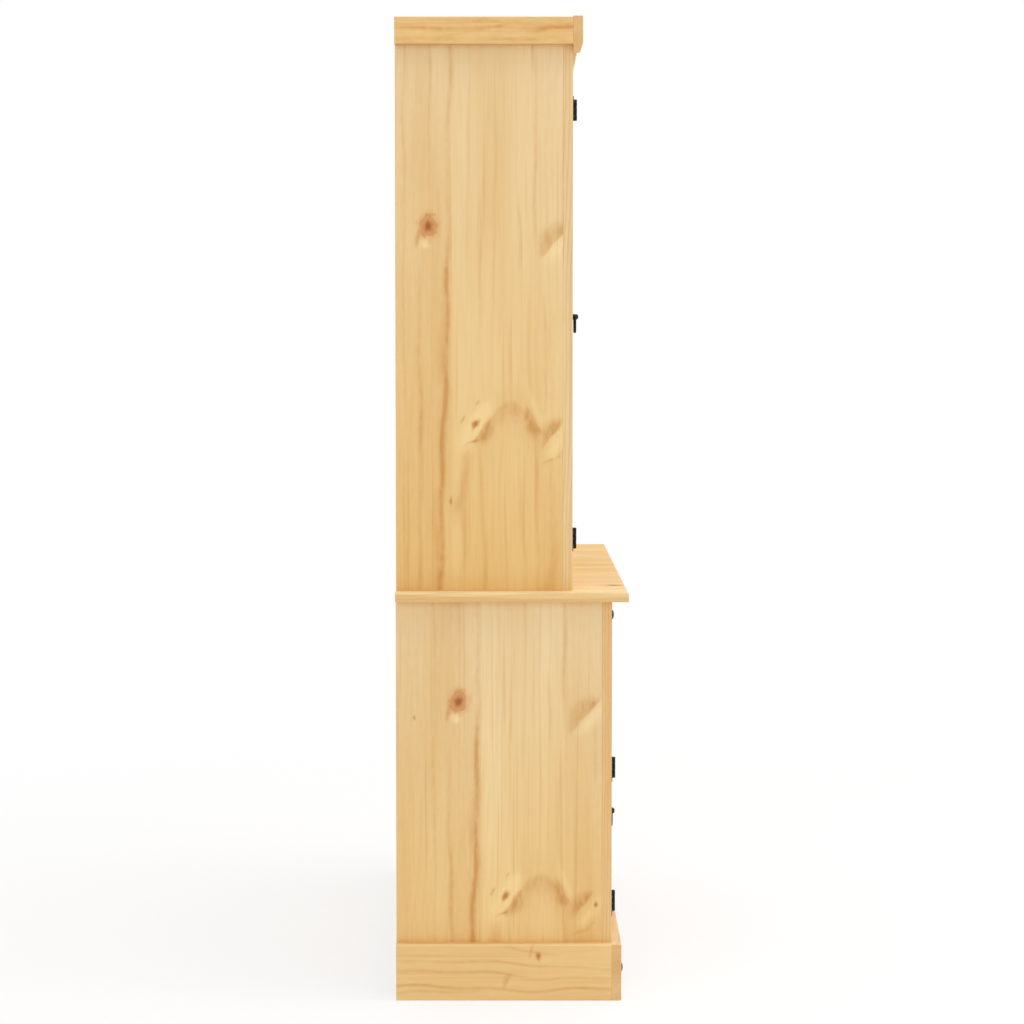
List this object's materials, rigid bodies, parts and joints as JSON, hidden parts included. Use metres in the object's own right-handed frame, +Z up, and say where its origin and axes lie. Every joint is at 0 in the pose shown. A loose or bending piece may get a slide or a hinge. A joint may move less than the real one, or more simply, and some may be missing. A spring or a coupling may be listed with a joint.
{
  "type": "highboard",
  "caption": "Rustic pine highboard: a glazed hutch with open shelves on a base cabinet with panelled doors and drawers, under a scalloped cornice, with black iron fittings.",
  "frame": {"origin": "on the floor, under the middle of the highboard's box", "axes": "+Z up, the front with its doors and drawers faces -Y, +X to the right of someone who faces the front"},
  "size_m": [1.12, 0.43, 1.814],
  "materials": {
    "pine_board": "satin wax on edge-glued pine boards",
    "pine_frame": "satin wax on solid pine strips",
    "pine_moulding": "satin wax on solid pine, a little darker",
    "pine_inner": "bare pine",
    "iron": "black waxed forged iron",
    "glass": "clear window glass"
  },
  "bodies": {
    "cabinet": {"base_side_left": "pine_board", "base_side_right": "pine_board", "base_floor": "pine_board", "base_back": "pine_inner", "base_dividers": "pine_board", "base_shelves": "pine_board", "drawer_deck": "pine_board", "base_stiles": "pine_frame", "base_rails": "pine_frame", "drawer_guides": "pine_inner", "worktop": "pine_board", "plinth_front": "pine_moulding", "plinth_sides": "pine_moulding", "cornice_front": "pine_moulding", "cornice_sides": "pine_moulding", "hutch_side_left": "pine_board", "hutch_side_right": "pine_board", "hutch_top": "pine_board", "hutch_floor": "pine_board", "hutch_back": "pine_inner", "hutch_dividers": "pine_board", "hutch_shelves": "pine_board", "hutch_stiles": "pine_frame", "hutch_rails": "pine_frame", "door_catches": "pine_inner", "iron_studs": "iron", "base_hinge_leaves": "iron", "hutch_hinge_leaves": "iron"},
    "hutch_left_door": {"hutch_left_door_frame": "pine_frame", "hutch_left_door_glass": "glass", "hutch_left_door_bars": "pine_frame", "hutch_left_door_hinges": "iron", "hutch_left_pull_plate": "iron"},
    "hutch_left_drop": {"hutch_left_pull_drop": "iron"},
    "hutch_right_door": {"hutch_right_door_frame": "pine_frame", "hutch_right_door_glass": "glass", "hutch_right_door_bars": "pine_frame", "hutch_right_door_hinges": "iron", "hutch_right_pull_plate": "iron"},
    "hutch_right_drop": {"hutch_right_pull_drop": "iron"},
    "base_left_door": {"base_left_door_frame": "pine_frame", "base_left_door_panel": "pine_frame", "base_left_door_hinges": "iron", "base_left_pull_plate": "iron"},
    "base_left_drop": {"base_left_pull_drop": "iron"},
    "base_right_door": {"base_right_door_frame": "pine_frame", "base_right_door_panel": "pine_frame", "base_right_door_hinges": "iron", "base_right_pull_plate": "iron"},
    "base_right_drop": {"base_right_pull_drop": "iron"},
    "left_drawer": {"left_drawer_front": "pine_frame", "left_drawer_box": "pine_inner", "left_drawer_pull_plate": "iron"},
    "left_bail": {"left_drawer_pull_bail": "iron"},
    "right_drawer": {"right_drawer_front": "pine_frame", "right_drawer_box": "pine_inner", "right_drawer_pull_plate": "iron"},
    "right_bail": {"right_drawer_pull_bail": "iron"}
  },
  "joints": [
    {"name": "hutch_left_door_hinge", "type": "hinge", "parent": "cabinet", "child": "hutch_left_door", "pos_m": [-0.478, -0.1165, 1.2515], "axis": [0, 0, -1], "range_deg": [0, 165]},
    {"name": "hutch_left_drop_pivot", "type": "hinge", "parent": "hutch_left_door", "child": "hutch_left_drop", "pos_m": [-0.28, -0.1222, 1.2705], "axis": [-1, 0, 0], "range_deg": [0, 80]},
    {"name": "hutch_right_door_hinge", "type": "hinge", "parent": "cabinet", "child": "hutch_right_door", "pos_m": [0.478, -0.1165, 1.2515], "axis": [0, 0, 1], "range_deg": [0, 165]},
    {"name": "hutch_right_drop_pivot", "type": "hinge", "parent": "hutch_right_door", "child": "hutch_right_drop", "pos_m": [0.28, -0.1222, 1.2705], "axis": [-1, 0, 0], "range_deg": [0, 80]},
    {"name": "base_left_door_hinge", "type": "hinge", "parent": "cabinet", "child": "base_left_door", "pos_m": [-0.496, -0.1895, 0.299], "axis": [0, 0, -1], "range_deg": [0, 165]},
    {"name": "base_left_drop_pivot", "type": "hinge", "parent": "base_left_door", "child": "base_left_drop", "pos_m": [-0.28, -0.1952, 0.301], "axis": [-1, 0, 0], "range_deg": [0, 80]},
    {"name": "base_right_door_hinge", "type": "hinge", "parent": "cabinet", "child": "base_right_door", "pos_m": [0.496, -0.1895, 0.299], "axis": [0, 0, 1], "range_deg": [0, 165]},
    {"name": "base_right_drop_pivot", "type": "hinge", "parent": "base_right_door", "child": "base_right_drop", "pos_m": [0.28, -0.1952, 0.301], "axis": [-1, 0, 0], "range_deg": [0, 80]},
    {"name": "left_drawer_slide", "type": "slide", "parent": "cabinet", "child": "left_drawer", "axis": [0, -1, 0], "range_m": [0, 0.28]},
    {"name": "left_bail_pivot", "type": "hinge", "parent": "left_drawer", "child": "left_bail", "pos_m": [-0.2585, -0.1912, 0.6086], "axis": [-1, 0, 0], "range_deg": [0, 85]},
    {"name": "right_drawer_slide", "type": "slide", "parent": "cabinet", "child": "right_drawer", "axis": [0, -1, 0], "range_m": [0, 0.28]},
    {"name": "right_bail_pivot", "type": "hinge", "parent": "right_drawer", "child": "right_bail", "pos_m": [0.2585, -0.1912, 0.6086], "axis": [-1, 0, 0], "range_deg": [0, 85]}
  ]
}
